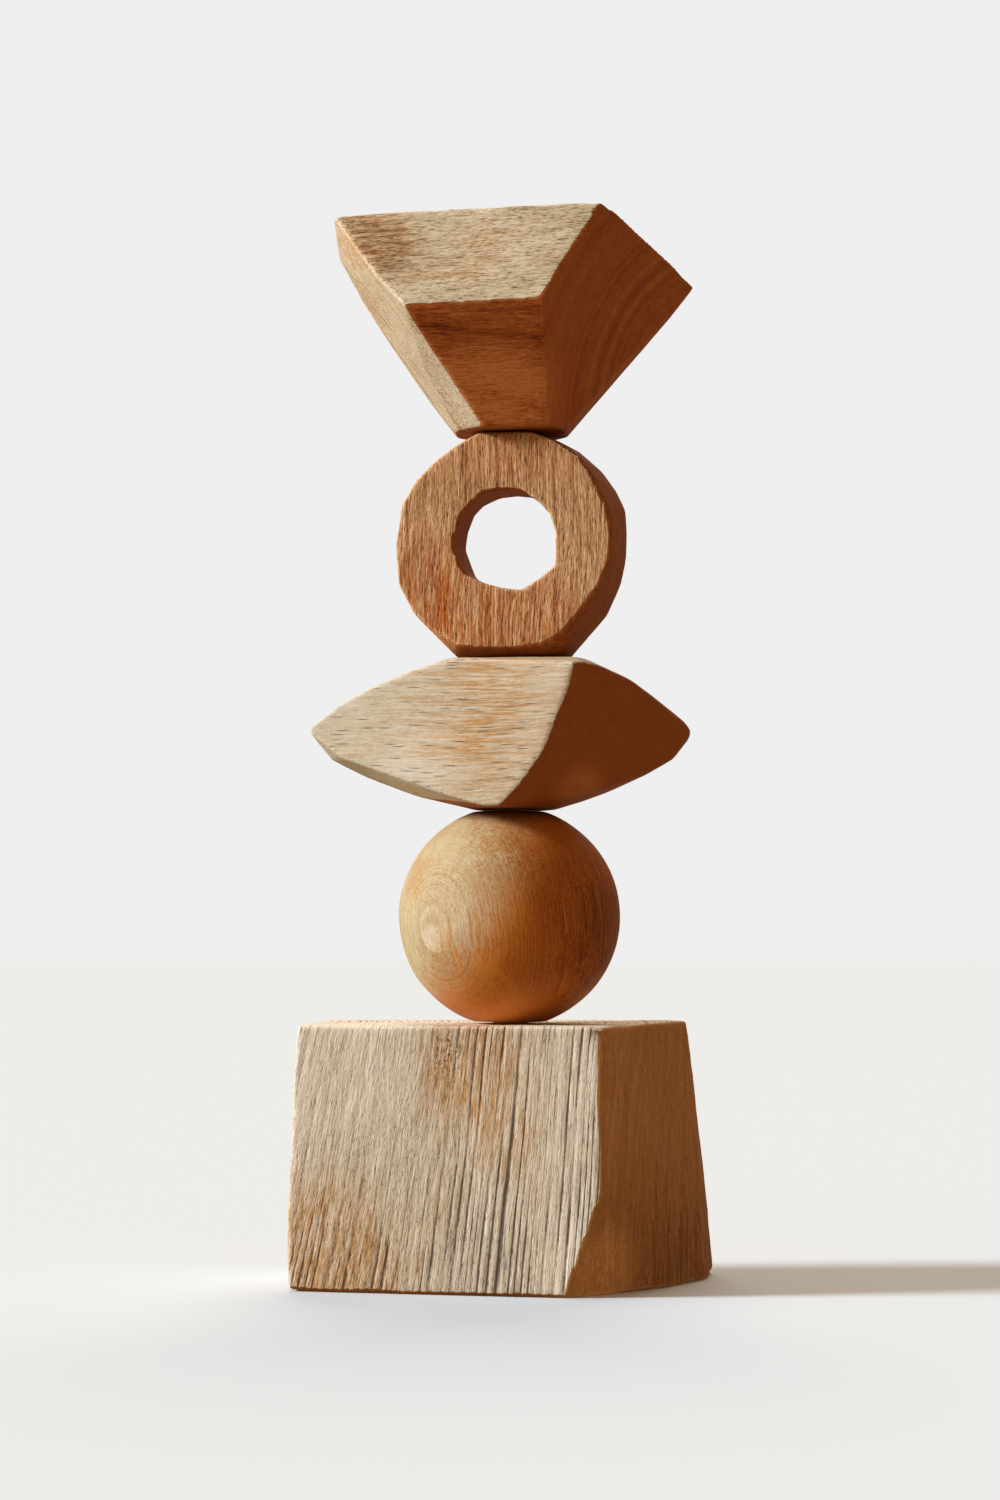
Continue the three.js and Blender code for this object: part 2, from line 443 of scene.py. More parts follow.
# %% Timber
class Timber:
    """How a block lay in its tree: its pith, its fibres, its rings and its knots."""

    def __init__(self, pith, fibre, ring, wander=0.5, fan=0.0, middle=0.0, knots=()):
        self.pith = pith
        self.fibre = fibre
        self.ring = ring
        self.wander = wander
        self.fan = fan
        self.middle = middle
        self.knots = [
            (*self.local(np.array([place]) * MM)[0], reach, push)
            for place, reach, push in knots
        ]

    def turn(self):
        return Vector((0, 0, 1)).rotation_difference(Vector(self.fibre).normalized())

    def turn_back(self):
        return np.array(self.turn().inverted().to_matrix()).T

    def local(self, points):
        """Points of the block, in millimetres across, through and along the fibres from the pith."""
        return (points / MM - np.array(self.pith)) @ self.turn_back()

    def flat_sawn(self, points, normals):
        """1 where a facet lies along the rings, which then show as broad arcs, and 0 across them."""
        turned = normals @ self.turn_back()
        outwards = self.local(points)[:, :2]
        outwards /= np.linalg.norm(outwards, axis=1)[:, None]
        return steps(np.abs((turned[:, :2] * outwards).sum(axis=1)), 0.6, 0.95)

    def knot(self, across, along):
        """1 in the heart of a knot, 0 away from it."""
        heart = 0.0 * across
        for knot_across, _, knot_along, reach, _ in self.knots:
            squared = (across - knot_across) ** 2 + ((along - knot_along) * 0.55) ** 2
            heart = heart + bump_of(squared ** 0.5, reach)
        return heart

    def bend(self, across, through, along):
        sway = sine(along / 26 + across / 60) + 0.5 * sine(along / 11 - through / 25 + across / 33 + 2)
        bent = across + self.wander * sway + (across - self.middle) * along * (self.fan / 1000)
        for knot_across, _, knot_along, reach, push in self.knots:
            squared = (across - knot_across) ** 2 + ((along - knot_along) * 0.5) ** 2
            bent = bent + push * bump_of(squared ** 0.5, 2.2 * reach) * sine((across - knot_across) / reach)
        return bent, through + self.wander * sine(along / 31 + 1), along

    def rings(self, across, through):
        out = (across * across + through * through) ** 0.5 / self.ring
        return out + 0.4 * sine(out * 0.9) + 0.12 * sine(out * 2.3)

    def groove(self, rings, width):
        """1 in the soft wood at the start of each ring, where weather digs a groove, and 0 elsewhere."""
        return bump_of(fraction(rings) - 0.5, width)


trial = Timber(pith=(0, 0, 0), fibre=(0, 0, 1), ring=2)
print("40 mm out from the pith, rings of 2 mm have reached number", round(float(trial.rings(40.0, 0.0))))

# %% [markdown]
# ## Worn edges, knife marks and raised grain
#
# Smoothing the fine net only moves points beside an edge, so it wears the edges and leaves the facets
# flat. How far each point moved is kept as the attribute `edge`, so that the finish can rub those places
# paler. Knife marks are a slow noise that sinks the surface by a few tenths of a millimetre, and raised
# grain digs the soft part of each ring on the facets that faced the weather. These are the facets that
# face the window lamp, and one attribute marks them for the finish too. The finish paints them pale,
# partly as weathered wood and partly as painted light, and paints the facets turned away brown, partly
# as painted shade. Where a facet lies along the rings, they show as broad arcs, and the grooves are kept
# shallow. Carving only sinks the surface. The spare wood that the saw leaves is on the sides of a block
# and never on the level faces where two blocks meet, which keeps a block out of its neighbour.

# %% Carving
LIT_AND_BLEACHED_SIDE = Vector((-0.85, -0.1, 0.5)).normalized()  # the side that faced the window and weathered pale, and that the window lamp lights: facets facing it are painted pale, partly as painted light
WORN_FROM = 0.06  # millimetres that sanding moved a point, from which it counts as beside an edge
RUBBED_PALE = 0.3  # millimetres that sanding moved a point, at which an edge is fully rubbed
RUB_ROUNDS = 3


def sand(bm, verts, rounds):
    for _ in range(rounds):
        bmesh.ops.smooth_vert(
            bm, verts=verts, factor=0.5, use_axis_x=True, use_axis_y=True, use_axis_z=True
        )


def smoothed(piece, rounds):
    """Where the points of a piece would lie after so many rounds of sanding."""
    bm = bmesh.new()
    bm.from_mesh(piece.data)
    sand(bm, bm.verts, rounds)
    points = np.array([v.co for v in bm.verts])
    bm.free()
    return points


def slow_noise(points, size, seed):
    """Smooth noise from 0 to 1 that changes over about size, in the units of the points."""
    shift = Vector((seed, 2.7 * seed, -1.3 * seed))
    return np.array([0.5 + 0.5 * noise.noise(Vector(p) / size + shift) for p in points])


def distance_to(points, place):
    """How many millimetres each point is from a place of the block."""
    return np.linalg.norm(points / MM - np.array(place), axis=1)


def near(points, place, reach):
    """1 around a place of the block, falling to 0 at reach millimetres."""
    return 1 - steps(distance_to(points, place), 0.4 * reach, reach)


def points_and_normals(mesh):
    points = np.empty(3 * len(mesh.vertices))
    normals = np.empty(3 * len(mesh.vertices))
    mesh.vertices.foreach_get("co", points)
    mesh.vertex_normals.foreach_get("vector", normals)
    return points.reshape(-1, 3), normals.reshape(-1, 3)


def keep_attribute(mesh, name, values):
    layer = mesh.attributes.new(name, "FLOAT", "POINT")
    layer.data.foreach_set("value", np.clip(values, 0, 1).astype(np.float32))


def wear(piece, light, heavy, soft_spots, seed):
    """Rounds the edges: lightly everywhere, heavily in patches and at the soft spots."""
    sharp, _ = points_and_normals(piece.data)
    lightly = smoothed(piece, light)
    heavily = smoothed(piece, heavy)
    amount = 0.5 * steps(slow_noise(sharp / MM, 26, seed), 0.5, 0.72)
    for place, reach in soft_spots:
        distance = distance_to(sharp, place)
        amount = np.maximum(amount, 1 - steps(distance, 0.5 * reach, reach))
    worn = lightly + (heavily - lightly) * amount[:, None]
    piece.data.vertices.foreach_set("co", worn.ravel())
    piece.data.update()
    return np.linalg.norm(lightly - sharp, axis=1) / MM


def rub_edges(piece, rubbed):
    """Takes the roughness off the edges, and off nothing else."""
    bm = bmesh.new()
    bm.from_mesh(piece.data)
    beside_edge = [vert for vert in bm.verts if rubbed[vert.index] > WORN_FROM]
    sand(bm, beside_edge, RUB_ROUNDS)
    bm.to_mesh(piece.data)
    bm.free()


def carve(
    piece, timber, sanding, soft_spots=(), chips=(), knife=0.3, groove=0.3, strokes=0.2,
    side=LIT_AND_BLEACHED_SIDE, window=(0.02, 0.28), calm=(), paler_top=0.0, seed=1,
):
    """Wears, carves and weathers a block. Places, reaches and depths are in millimetres.

    sanding is the rounds that the edges get, lightly and where they are worn most, and soft_spots are
    places worn most: (place, reach). chips are torn out: (place, reach, bite). knife, groove and strokes
    are the depths of knife marks, ring grooves and fibres. side and window say which facets face the
    window lamp. Those facets weathered, and the finish paints them pale, partly as painted light. It paints
    the others brown, partly as painted shade. calm lists places with flatter grain, and paler_top makes
    the upward level faces paler.
    """
    rubbed = wear(piece, *sanding, soft_spots, seed)
    mesh = piece.data
    points, normals = points_and_normals(mesh)
    # 1 on the facets that face the window lamp, which weathered and which the finish paints pale as painted
    # light, and 0 on those turned away, painted brown as painted shade
    bleach = steps(normals @ np.array(Vector(side).normalized()), *window)
    end = steps(np.abs(normals @ np.array(Vector(timber.fibre).normalized())), 0.45, 0.8)
    across, through, along = timber.local(points).T
    knot = timber.knot(across, along)
    bent = timber.bend(across, through, along)
    straight = np.stack(bent, axis=1)
    level = np.abs(normals[:, 2]) > SEATED
    relief = 0.25 + 0.75 * steps(slow_noise(straight * (0.16, 0.16, 0.02), 1, seed + 3), 0.35, 0.6)
    relief *= 1 - 0.75 * timber.flat_sawn(points, normals)
    for place, reach in calm:
        relief *= 1 - 0.75 * near(points, place, reach)
    fibres = steps(slow_noise(straight * (0.7, 0.7, 0.06), 1, seed + 5), 0.4, 0.7) * (1 - 0.7 * end)
    rough = bleach * np.where(level, 0.15, 1.0)
    marks = slow_noise(points / MM, 15, seed) + 0.3 * slow_noise(points / MM, 6, seed + 7)
    grooves = timber.groove(timber.rings(*bent[:2]), 0.3) * relief
    depth = knife * marks + (groove * grooves + strokes * fibres) * (0.1 + 0.9 * rough)
    if knot.max() > 0:
        depth += 0.9 * knot * slow_noise(points / MM, 2.2, seed + 9)
    for place, reach, bite in chips:
        torn = 0.5 + slow_noise(straight * (0.8, 0.8, 0.15), 1, seed + 11)
        depth += bite * bump_of(distance_to(points, place), reach) * torn
    points = points - normals * depth[:, None] * MM
    mesh.vertices.foreach_set("co", points.ravel())
    rub_edges(piece, rubbed)
    # the upward level faces are made paler along with the sanded edges
    keep_attribute(mesh, "edge", rubbed / RUBBED_PALE + paler_top * (normals[:, 2] > SEATED))
    keep_attribute(mesh, "bleach", bleach)
    keep_attribute(mesh, "relief", relief)
    keep_attribute(mesh, "end", end)
    mesh.shade_smooth()
    mesh.update()


# %% [markdown]
# ## The finish
#
# The same recipe colours every block: ring bands, fine fibres, warm stains, short dark pores, and pale
# rubbed edges. Facets that face the window lamp take pale, weathered tones, and the others take the brown
# of wood rubbed with oil. So the finish also holds painted light on the lit side and painted shade on
# the other. Three more marks are added: patches of painted light and painted shade, a band of painted
# shade where a neighbour sits, and painted shade towards the floor. The bump repeats what is too fine for
# the net: fibres stand up, and pores and grooves sink.

# %% Wood finish
DEEP_PORE = (0.05, 0.018, 0.006, 1.0)
# the dark brown of the painted shade where a neighbour sits
SEAT_SHADE = colour(96, 44, 14)


def stops(*colours):
    """Colours spread evenly from the darkest tone to the palest."""
    last = len(colours) - 1
    return [(0.15 + 0.7 * i / last, shade) for i, shade in enumerate(colours)]


def wood_finish(name, timber, bleached_lit, oiled_shaded, stain, pore, look, tints=(), lights=(), seat_shades=()):
    """The finish of one block, from its timber and its colours.

    bleached_lit and oiled_shaded are the tones of the facets that face the window lamp and of those
    turned away: weathered wood and wood rubbed with oil, and also painted light and painted shade. stain
    and pore are single colours, and look holds the strength or size of each mark. tints are warm stains.
    lights are patches of painted light, and of painted shade where the strength is below 0. Both tints and
    lights are (place, reach, strength). seat_shades are (height, reach, strength): painted shade in a band
    where a neighbour sits on the block.
    """
    made = bpy.data.materials.new(name)
    paint = Paint(made)
    place = paint.node("TexCoord", output=3)
    inputs = {"Vector": place, "Scale": (MM, MM, MM)}
    inputs["Location"] = Vector(timber.pith) * MM
    inputs["Rotation"] = timber.turn().to_euler()
    tree = paint.node("Mapping", {"vector_type": "TEXTURE"}, inputs)
    split = paint.node("SeparateXYZ", {}, {0: tree})
    measures = [Field(paint, split.socket.node.outputs[i]) for i in range(3)]
    knot = timber.knot(measures[0], measures[2])
    bent = timber.bend(*measures)
    grain = paint.node("CombineXYZ", {}, dict(enumerate(bent)))

    relief = paint.attribute("relief")
    end = paint.attribute("end")
    rings = timber.rings(*bent[:2])
    groove = timber.groove(rings, look["line"]) * relief
    bands = {"W": rings * look["bands"], "Scale": 1.0, "Detail": 3.0}
    layer = paint.node("TexNoise", {"noise_dimensions": "1D"}, bands)
    streak = paint.noise(paint.stretch(grain, (0.28, 0.28, 0.012)), 1, 4, 0.6, 0.6)
    fibre = paint.noise(paint.stretch(grain, (1.25, 1.25, 0.07)), 1, 3, 0.6, 0.3)
    hair = paint.noise(paint.stretch(grain, (3.4, 3.4, 0.22)), 1, 3, 0.6)
    cloud = paint.noise(paint.stretch(grain, (0.04, 0.04, 0.02)), 1, 3, 0.55, 0.5)

    slit = paint.stretch(grain, (look["pores"], look["pores"], look["pores"] * look["pore_length"]))
    cells = paint.cells(slit)
    rare = paint.noise(paint.stretch(grain, (0.22, 0.22, 0.05)), 1, 2)
    pores = (1 - paint.ramp(cells, 0.06, 0.24)) * paint.ramp(rare, look["rare"], look["rare"] + 0.1)
    slit = paint.stretch(grain, (2.3, 2.3, 0.26))
    cells = paint.cells(slit)
    fleck = 1 - paint.ramp(cells, 0.12, 0.4)
    grit = paint.noise(place, 1500, 2)

    bleach = paint.attribute("bleach")
    edge = paint.attribute("edge")

    lines = look["fibre"] * (fibre - 0.5) + look["hair"] * (hair - 0.5) - look["fleck"] * fleck
    tone = 0.5 + look["streak"] * (streak - 0.5) + look["layer"] * (layer - 0.5) * (1 - 0.6 * end)
    tone = tone + lines * (1 - 0.65 * end) + look["grit"] * (grit - 0.5)
    speckle = knot * (0.2 - 0.6 * paint.ramp(paint.noise(place, 800, 2), 0.4, 0.6))
    dry_lit_tone = tone - look["groove"] * groove + look["pale_edge"] * edge + speckle * 0.6
    height_up = paint.node("SeparateXYZ", {}, {0: place}, output=2) / MM
    wet_shaded_tone = tone * 0.8 + 0.1 - 0.12 * look["groove"] * groove + 0.3 * look["pale_edge"] * edge
    # painted shade: the brown tone is darkened towards the floor, most at the floor and not at all from 60
    # mm up
    wet_shaded_tone = wet_shaded_tone - look["foot"] * (1 - paint.ramp(height_up, 0, 60))

    def patch(spot, reach):
        """1 at a spot of the block, fading out raggedly along the fibres at reach millimetres."""
        inputs = {0: place, 1: Vector(spot) * MM}
        distance = paint.node("VectorMath", {"operation": "DISTANCE"}, inputs, output=1)
        ragged = distance / MM + reach * (streak - 0.5) + 0.5 * reach * (fibre - 0.5)
        return 1 - paint.ramp(ragged, 0.3 * reach, reach)

    # painted light: each patch lightens both tones, and where its strength is below 0 it darkens them as
    # painted shade
    for spot, reach, strength in lights:
        painted_lift = strength * patch(spot, reach)
        dry_lit_tone = dry_lit_tone + painted_lift
        wet_shaded_tone = wet_shaded_tone + painted_lift
    dry_lit = paint.node("ValToRGB", {"stops": bleached_lit}, {"Fac": dry_lit_tone})
    warm = paint.ramp(cloud + 0.3 * (streak - 0.5), 0.5, 0.72) * look["stain"]
    for spot, reach, strength in tints:
        warm = warm + strength * patch(spot, reach)
    warm = warm * (1 - look["veins"] * paint.ramp(fibre + 0.6 * (hair - 0.5), 0.42, 0.58))
    dry_lit = paint.mix(warm, dry_lit, stain, "MULTIPLY")
    dry_lit = paint.mix(pores * look["pore_dark"], dry_lit, pore)
    wet_shaded = paint.node("ValToRGB", {"stops": oiled_shaded}, {"Fac": wet_shaded_tone})
    wet_shaded = paint.mix(pores * look["pore_dark"] * 0.4, wet_shaded, DEEP_PORE)
    # facets facing the window lamp take the pale tones and the others the brown: partly weathered and brown
    # wood, partly painted light and painted shade
    share = paint.ramp(bleach + 0.3 * (fibre - 0.5), 0.5 - look["soft"], 0.5 + look["soft"])
    skin = paint.mix(share, wet_shaded, dry_lit)
    # painted shade: a dark band round each height where a neighbour sits, standing for the shadow in the
    # joint
    for height, reach, strength in seat_shades:
        away = (height_up - height).maths("ABSOLUTE") + 0.6 * reach * (streak - 0.5)
        shade_at_seat = strength * (1 - paint.ramp(away, 0, reach))
        skin = paint.mix(shade_at_seat, skin, SEAT_SHADE)

    height = look["fibre_height"] * fibre + 0.45 * hair - 0.5 * fleck + 0.2 * grit
    height = height * (1 - 0.5 * end) - 1.1 * pores - 1.2 * look["groove"] * groove
    height = height * (0.3 + 0.7 * share)
    bump = {"Strength": look["bump"], "Distance": 0.5 * MM, "Height": height}
    raised = paint.node("Bump", {}, bump)
    roughness = look["rough"] + 0.18 * share + 0.2 * (fibre - 0.5)
    inputs = {"Base Color": skin, "Roughness": roughness, "Normal": raised, "Specular IOR Level": 0.15}
    surface = paint.node("BsdfPrincipled", {}, inputs)
    paint.node("OutputMaterial", {}, {"Surface": surface})
    return made


# %% [markdown]
# ## Making a block
#
# Every block is made in the same steps: saw it, drill it, lay the fine net, carve it. Only the ball starts
# from a sphere and not from a box. A finished block takes its solid's place and rides on its body.

# %% Blocks
def sawn(name, node, spare, more=(), blank_room=BLANK_ROOM):
    """A block sawn from its blank, with spare millimetres of wood left on its sides for the carving."""
    return to_object(name, saw(blank_for(*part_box(node), blank_room), facets_of(node, spare, more)))


def finish_block(piece, node, material):
    """Gives a piece its finish, and puts it in the place of its solid."""
    piece.data.materials.clear()
    piece.data.materials.append(material)
    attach(piece, body_of[node])
    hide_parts(node)
    print(piece.name, "stands for", node, "and rides on", body_of[node])


# %% [markdown]
# ## The base
#
# The base is a heavy block of oak. Its front, its left side and its top are silvered and grooved by the
# weather, and its right side and back keep the brown of the wood. They are also the sides that the window
# lamp lights and leaves in shade, so the pale and the brown are partly painted light and painted shade.
# Patches of painted light brighten its front, its left and the chamfer at its lower right. Its brown
# is painted darker towards the floor as painted shade. One knot pushes the grain aside near the top. Its
# rings are about 3 mm wide and show as nearly upright lines on the front. Their grooves are cut into the
# mesh itself and not only drawn, so that they catch the light from any side.

# %% Base
base_timber = Timber(
    pith=(-190, 30, 0), fibre=(0.13, 0, 1), ring=2.9, wander=0.4, fan=1.5, middle=175,
    knots=[((-22, -28, 80), 9, 2.5)],
)
base_look = {
    "pores": 0.9, "rare": 0.62, "pore_dark": 0.3, "pore_length": 0.085, "layer": 0.4, "groove": 0.6,
    "streak": 0.6, "fibre": 0.9, "hair": 0.6, "pale_edge": 0.3, "stain": 0.35, "fibre_height": 0.8,
    "bump": 0.7, "rough": 0.6, "foot": 0.25, "soft": 0.2,
    "veins": 0.7, "bands": 2.6, "line": 0.2, "fleck": 0.25, "grit": 0.3,
}
# painted light: the lights of the base brighten the chamfer at its lower right, its left and its front, and
# its look darkens its foot as painted shade
base_finish = wood_finish(
    "weathered oak", base_timber,
    stops(colour(112, 104, 98), colour(192, 180, 160), colour(226, 217, 196), colour(244, 238, 222)),
    stops(colour(124, 74, 32), colour(178, 120, 66), colour(200, 142, 84), colour(230, 176, 116)),
    colour(240, 194, 140), colour(104, 88, 76), base_look,
    tints=[((-66, -14, 8), 46, 0.9), ((-14, -28, 78), 28, 0.8), ((-2, -32, 50), 16, 0.4)],
    lights=[((29, -31, 8), 26, 0.4), ((-66, -14, 80), 50, 0.15), ((20, -36, 60), 50, 0.12)],
)
base = sawn("carved_base", "base_block", spare=0.4)
drill(base, "base_block")
fine_skin(base, 0.92 * MM)
carve(
    base, base_timber, sanding=(5, 40),
    soft_spots=[((70, 52, 3), 14), ((73, 50, 12), 12)],
    chips=[((31, -40, 90), 6, 2.0)],
    knife=0.3, groove=0.34, strokes=0.14,
    calm=[((-62, -20, 55), 60), ((-30, -30, 60), 30)],
    paler_top=1.0, seed=3,
)
finish_block(base, "base_block", base_finish)

# %% [markdown]
# ## The lens
#
# The lens is a long block cut to a point at both ends, and its fibres run roughly from point to point.
# Its facets are nearly smooth, so it gets shallow marks, and short dark pores show its grain.

# %% Lens
lens_timber = Timber(pith=(0, 60, 150), fibre=(0.92, -0.38, -0.02), ring=3.4, wander=0.8)
lens_look = {
    "pores": 1.2, "rare": 0.34, "pore_dark": 0.9, "pore_length": 0.05, "layer": 0.2, "groove": 0.05,
    "streak": 0.6, "fibre": 0.6, "hair": 0.5, "pale_edge": 0.3, "stain": 0.3, "fibre_height": 0.4,
    "bump": 0.45, "rough": 0.5, "foot": 0.0, "soft": 0.2,
    "veins": 0.7, "bands": 2.6, "line": 0.2, "fleck": 0.12, "grit": 0.3,
}
# painted light: two patches near the underside of the lens, at its right and at its left, stand for light
# thrown up from below
lens_finish = wood_finish(
    "pale oak", lens_timber,
    stops(colour(166, 148, 122), colour(202, 192, 166), colour(216, 208, 186), colour(230, 224, 208)),
    stops(colour(110, 50, 20), colour(158, 86, 38), colour(172, 98, 44), colour(196, 122, 62)),
    colour(240, 196, 146), colour(72, 62, 58), lens_look,
    tints=[((6, -25, 196), 62, 0.5), ((-8, -25, 192), 18, 0.3), ((-4, -20, 214), 26, 0.4)],
    lights=[((24, -20, 171), 14, 0.3), ((-32, -16, 175), 24, 0.2)],
)
lens = sawn("carved_lens", "lens", spare=0.45)
drill(lens, "lens")
fine_skin(lens, 0.75 * MM)
carve(
    lens, lens_timber, sanding=(6, 40),
    soft_spots=[((-75, 0, 192), 6), ((64, 4, 190), 12)],
    knife=0.25, groove=0.05, strokes=0.08, window=(-0.3, -0.08), seed=5,
)
finish_block(lens, "lens", lens_finish)

# %% [markdown]
# ## The crown
#
# The crown widens upwards from a narrow foot and overhangs the ring. Its fibres lie nearly level. Some
# of its corners have been handled most, so they are sanded away further than the edges.

# %% Crown
crown_timber = Timber(pith=(0, 50, 318), fibre=(1, 0.03, 0.02), ring=3.2, wander=0.6)
crown_look = {
    "pores": 1.1, "rare": 0.4, "pore_dark": 0.7, "pore_length": 0.06, "layer": 1.0, "groove": 0.18,
    "streak": 0.35, "fibre": 1.1, "hair": 0.9, "pale_edge": 0.4, "stain": 0.45, "fibre_height": 0.9,
    "bump": 0.8, "rough": 0.55, "foot": 0.0, "soft": 0.2,
    "veins": 0.7, "bands": 0.9, "line": 0.2, "fleck": 0.3, "grit": 0.2,
}
# painted light: the lights of the crown brighten its lower front, where light is thrown up from the ring,
# and faintly its middle front. The band at its foot is painted shade where it stands on the ring
crown_finish = wood_finish(
    "crown oak", crown_timber,
    stops(colour(150, 128, 102), colour(202, 182, 148), colour(226, 210, 178), colour(242, 232, 208)),
    stops(colour(92, 38, 12), colour(156, 78, 32), colour(192, 108, 50), colour(226, 148, 84)),
    colour(240, 184, 130), colour(80, 64, 54), crown_look,
    tints=[((-48, -18, 366), 22, 0.7), ((-8, -22, 358), 16, 0.35), ((-44, 0, 340), 18, 0.35)],
    lights=[((-5, -24, 306), 30, 0.25), ((-10, -20, 352), 40, 0.08)], seat_shades=[(295.6, 2.2, 0.6)],
)
crown = sawn("carved_crown", "crown", spare=0.6, more=[((-50, -4, 352), 26, 1.6)], blank_room=4 * MM)
drill(crown, "crown")
fine_skin(crown, 0.66 * MM)
carve(
    crown, crown_timber, sanding=(12, 45),
    soft_spots=[
        ((-60, -11, 371), 15), ((-58, 0, 360), 13), ((70, 42, 355), 22), ((32, -17, 374), 8),
    ],
    knife=0.2, groove=0.15, strokes=0.16, seed=8,
)
finish_block(crown, "crown", crown_finish)

# %% [markdown]
# ## The ring
#
# The ring is an upright slab with its rim cut to flats and a faceted hole through it. The hole could be
# bored and then cut, but the solid already knows its flats, so a plug is sawn from them and carved out.

# %% Ring
def eye_of_ring(node, clear_of_axis):
    """A plug that fills the ring's hole: its faces are the hole's, turned round."""
    low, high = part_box(node)
    cuts = []
    for point, direction, corners in faces_of(node):
        beside_axis = max(math.hypot(c.x, c.y) for c in corners)
        inwards = direction.dot(point - (low + high) / 2) < 0
        if inwards and beside_axis > clear_of_axis:
            cuts.append((point, -direction))
    return to_object("plug", saw(blank_for(low, high), cuts))


ring_timber = Timber(pith=(-20, 70, 0), fibre=(0.02, 0, 1), ring=2.4, wander=0.7)
ring_look = {
    "pores": 1.15, "rare": 0.42, "pore_dark": 0.6, "pore_length": 0.085, "layer": 0.5, "groove": 0.12,
    "streak": 0.5, "fibre": 1.0, "hair": 1.2, "pale_edge": 0.3, "stain": 0.55, "fibre_height": 1.0,
    "bump": 0.9, "rough": 0.6, "foot": 0.0, "soft": 0.2,
    "veins": 0.7, "bands": 2.6, "line": 0.2, "fleck": 0.35, "grit": 0.35,
}
# painted light: the light of the ring brightens its right side a little. The band at its foot and the band
# at its top are painted shade where the lens and the crown meet it
ring_finish = wood_finish(
    "red oak", ring_timber,
    stops(colour(118, 84, 58), colour(190, 138, 92), colour(214, 168, 120), colour(238, 208, 164)),
    stops(colour(92, 38, 12), colour(144, 76, 32), colour(166, 92, 42), colour(190, 118, 60)),
    colour(244, 176, 116), colour(74, 46, 30), ring_look,
    tints=[((-30, -12, 240), 30, 0.6), ((0, -14, 290), 26, 0.4), ((2, -14, 228), 26, 0.6)],
    lights=[((32, -15, 255), 30, 0.06)],
    seat_shades=[(217.2, 5.5, 0.75), (295.6, 2.5, 0.5)],
)
ring = sawn("carved_ring", "ring", spare=0.45)
carve_out(ring, eye_of_ring("ring", clear_of_axis=8 * MM))
drill(ring, "ring")
fine_skin(ring, 0.62 * MM)
carve(ring, ring_timber, sanding=(9, 50), knife=0.2, groove=0.06, strokes=0.16, seed=11)
finish_block(ring, "ring", ring_finish)

# %% [markdown]
# ## The ball
#
# The ball was turned on a lathe, so it starts from a fine sphere, with a flat sawn where it meets each
# neighbour. Its grain stands up less than on the carved blocks. The rings close into a bull's eye
# wherever the surface lies along them, and one of these is on the side that weathered pale. That side
# faces the window lamp and fades widely into a brown side turned away from it, partly as painted light
# and painted shade. Painted light stands for the light that the base throws up near its foot and onto
# its front. Painted shade darkens its right side, and a band of painted shade lies round its top where
# the lens sits.

# %% Ball
BALL_SPARE = 0.6 * MM
BALL_SHIFT = Vector((-0.5 * MM, 0, 0))

ball_low, ball_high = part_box("ball")
ball_middle = (ball_low + ball_high) / 2
ball_radius = (ball_high.x - ball_low.x) / 2
bm = bmesh.new()
bmesh.ops.create_icosphere(bm, subdivisions=7, radius=ball_radius + BALL_SPARE)
bmesh.ops.translate(bm, vec=ball_middle + BALL_SHIFT, verts=bm.verts)
saw(bm, [(ball_low, Vector((0, 0, -1))), (ball_high, Vector((0, 0, 1)))])
ball = to_object("turned_ball", bm)
drill(ball, "ball")
fine_skin(ball, 0.8 * MM)
ball_timber = Timber(pith=(-59.9, -66, 0), fibre=(-0.07, -0.06, 1), ring=1.3, wander=0.6)
ball_look = {
    "pores": 1.7, "rare": 0.36, "pore_dark": 0.75, "pore_length": 0.16, "layer": 0.6, "groove": 0.1,
    "streak": 0.4, "fibre": 0.4, "hair": 0.6, "pale_edge": 0.0, "stain": 0.5, "fibre_height": 0.3,
    "bump": 0.3, "rough": 0.42, "foot": 0.0, "soft": 0.45,
    "veins": 0.35, "bands": 2.6, "line": 0.3, "fleck": 0.18, "grit": 0.3,
}
# painted light: the lights of the ball are a small pale spot at its left front, and light thrown up from
# the base near its foot and onto its front. The light with a strength below 0 is painted shade on its right
# side. The band at its top is painted shade under the lens
ball_finish = wood_finish(
    "honey oak", ball_timber,
    stops(colour(160, 132, 92), colour(194, 174, 132), colour(208, 194, 158), colour(226, 218, 192)),
    stops(colour(110, 50, 14), colour(168, 90, 30), colour(204, 118, 42), colour(234, 150, 62)),
    colour(240, 172, 96), colour(84, 54, 30), ball_look,
    tints=[((6, -36, 128), 40, 0.6), ((-18, -26, 104), 24, 0.6), ((2, -20, 160), 24, 0.6)],
    lights=[
        ((-26.6, -26.7, 121), 6.5, 0.35), ((-10, -24, 97), 24, 0.25), ((-8, -36, 122), 24, 0.25),
        ((36, -12, 122), 34, -0.2),
    ],
    seat_shades=[(164.6, 5, 0.8)],
)
# the pale side faces the window lamp and fades widely into brown, following the lamp's light and shade:
# partly weathering, partly painted light and painted shade
carve(
    ball, ball_timber, sanding=(4, 12), knife=0.4, groove=0.0, strokes=0.05,
    side=(-0.85, -0.25, 0.42), window=(-0.05, 0.75), seed=13,
)
finish_block(ball, "ball", ball_finish)

# %% [markdown]
# ## The dowels
#
# Four straight pins of beech hold the stack upright and are hidden until a block is lifted. They are
# turned rods with a small bevel at each end, which lets them find their sockets.

# %% Dowels
PIN_SIDES = 96
PIN_BEVEL = 1 * MM
LEVEL_RIM = 1e-6

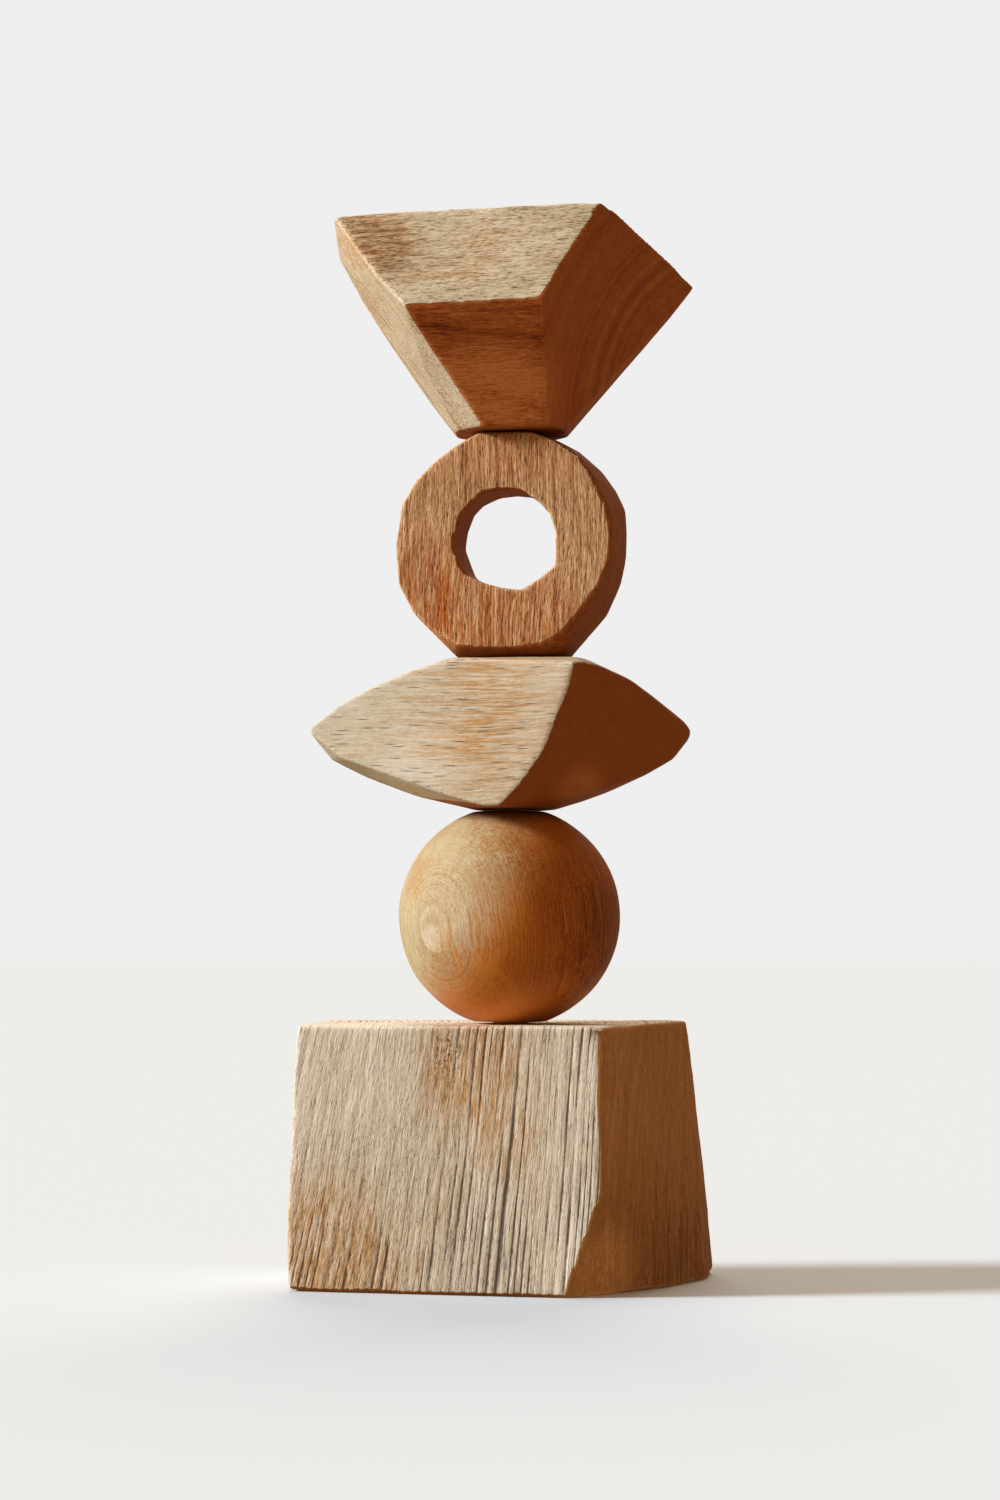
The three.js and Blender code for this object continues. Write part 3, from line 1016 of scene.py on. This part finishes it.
pin_timber = Timber(pith=(9, 12, 0), fibre=(0, 0, 1), ring=1.6, wander=0.3)
pin_look = {
    "pores": 1.6, "rare": 0.6, "pore_dark": 0.4, "pore_length": 0.085, "layer": 0.3, "groove": 0.05,
    "streak": 0.6, "fibre": 0.6, "hair": 0.4, "pale_edge": 0.0, "stain": 0.3, "fibre_height": 0.3,
    "bump": 0.3, "rough": 0.5, "foot": 0.0, "soft": 0.2,
    "veins": 0.7, "bands": 2.6, "line": 0.2, "fleck": 0.1, "grit": 0.1,
}
pin_wood = stops(colour(196, 152, 104), colour(218, 180, 132), colour(232, 202, 156))
pin_finish = wood_finish(
    "beech", pin_timber, pin_wood, pin_wood, colour(240, 190, 140), colour(150, 108, 70), pin_look
)


def turned_pin(node):
    """A dowel of its solid's own size, bevelled at both rims."""
    low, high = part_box(node)
    radius = (high.x - low.x) / 2
    bm = bmesh.new()
    bmesh.ops.create_cone(
        bm, cap_ends=True, segments=PIN_SIDES, radius1=radius, radius2=radius, depth=high.z - low.z
    )
    bmesh.ops.translate(bm, vec=(low + high) / 2, verts=bm.verts)
    rims = [edge for edge in bm.edges if abs(edge.verts[0].co.z - edge.verts[1].co.z) < LEVEL_RIM]
    bmesh.ops.bevel(bm, geom=rims, offset=PIN_BEVEL, segments=2, profile=0.5, affect="EDGES", material=-1)
    return to_object("pin_" + node.removeprefix("dowel_"), bm)


for node in sorted(body_of):
    if node.startswith("dowel"):
        pin = turned_pin(node)
        for name, level in (("edge", 0), ("bleach", 1), ("relief", 1), ("end", 0)):
            keep_attribute(pin.data, name, np.full(len(pin.data.vertices), level))
        finish_block(pin, node, pin_finish)

# %% [markdown]
# ## Floor and light
#
# A plain pale floor, one soft light low on the left, a weaker warm one from behind, and a weak warm
# light from all round. The floor is left out of the light that bounces onto the wood, because it would
# tint the blocks from below, and the camera sees a plain grey room instead of the warm light.

# %% Studio
floor_material = bpy.data.materials.new("pale floor")
floor_paint = Paint(floor_material)
floor_surface = floor_paint.node(
    "BsdfPrincipled", {}, {"Base Color": (0.76, 0.87, 0.99, 1), "Roughness": 0.9, "Specular IOR Level": 0.1}
)
floor_paint.node("OutputMaterial", {}, {"Surface": floor_surface})
bm = bmesh.new()
bmesh.ops.create_grid(bm, x_segments=2, y_segments=2, size=15)
bmesh.ops.translate(bm, vec=Vector((0, 0, -0.1 * MM)), verts=bm.verts)
floor = to_object("floor", bm)
floor.data.materials.append(floor_material)
floor.visible_diffuse = False
floor.visible_glossy = False


def lamp(name, around, height, energy, softness, shade):
    """A far soft light. around is its bearing in degrees left of the front, and height its angle up."""
    data = bpy.data.lights.new(name, "SUN")
    data.energy = energy
    data.angle = softness * DEGREE
    data.color = shade
    made = bpy.data.objects.new(name, data)
    level = math.cos(height * DEGREE)
    towards = Vector(
        (-level * math.sin(around * DEGREE), -level * math.cos(around * DEGREE), math.sin(height * DEGREE))
    )
    made.rotation_euler = towards.to_track_quat("Z", "Y").to_euler()
    bpy.context.scene.collection.objects.link(made)


lamp("window", 80, 26, 3.7, 14, (1.0, 1.0, 1.0))
lamp("back window", 185, 48, 1.3, 40, (1.0, 0.82, 0.64))

world = bpy.data.worlds.new("room")
bpy.context.scene.world = world
room = Paint(world)
seen = room.node("LightPath", output=0)
room_light = room.node("Background", {}, {"Color": (1.0, 0.68, 0.42, 1), "Strength": 0.31})
backdrop = room.node("Background", {}, {"Color": (0.86, 0.86, 0.86, 1), "Strength": 1.0})
both = room.node("MixShader", {}, {0: seen, 1: room_light, 2: backdrop})
room.node("OutputWorld", {}, {"Surface": both})
print("the studio has", len(bpy.data.lights), "lamps and a floor")
